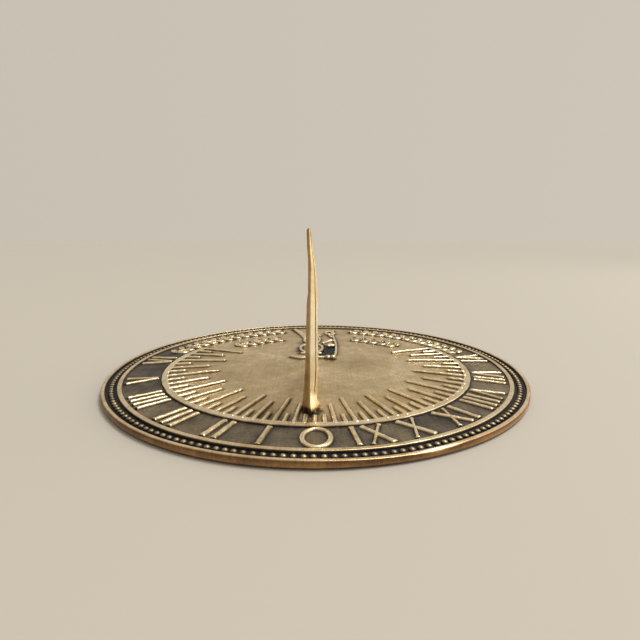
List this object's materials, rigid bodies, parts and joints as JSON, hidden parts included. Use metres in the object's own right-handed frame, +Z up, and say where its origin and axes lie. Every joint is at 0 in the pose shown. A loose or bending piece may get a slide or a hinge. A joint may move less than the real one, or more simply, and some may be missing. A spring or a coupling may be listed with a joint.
{
  "type": "garden sundial",
  "caption": "Round cast brass garden sundial with a beaded rim, raised Roman hour numerals, radiating hour bars and an upright triangular gnomon held by screws from below.",
  "frame": {"origin": "on the resting surface, under the middle of the round plate", "axes": "+Z up; -Y towards the noon mark, which points north on a northern dial; +X towards the morning hours"},
  "size_m": [0.254, 0.254, 0.0899],
  "materials": {
    "antiqued_cast_brass": "satin, brushed high points over dark patina in the recesses",
    "polished_cast_brass": "hand polished casting",
    "turned_brass": "turned, bright"
  },
  "bodies": {
    "root": {"dial_plate": "antiqued_cast_brass", "gnomon": "polished_cast_brass", "gnomon_screw_front": "turned_brass", "gnomon_screw_rear": "turned_brass"}
  },
  "joints": []
}
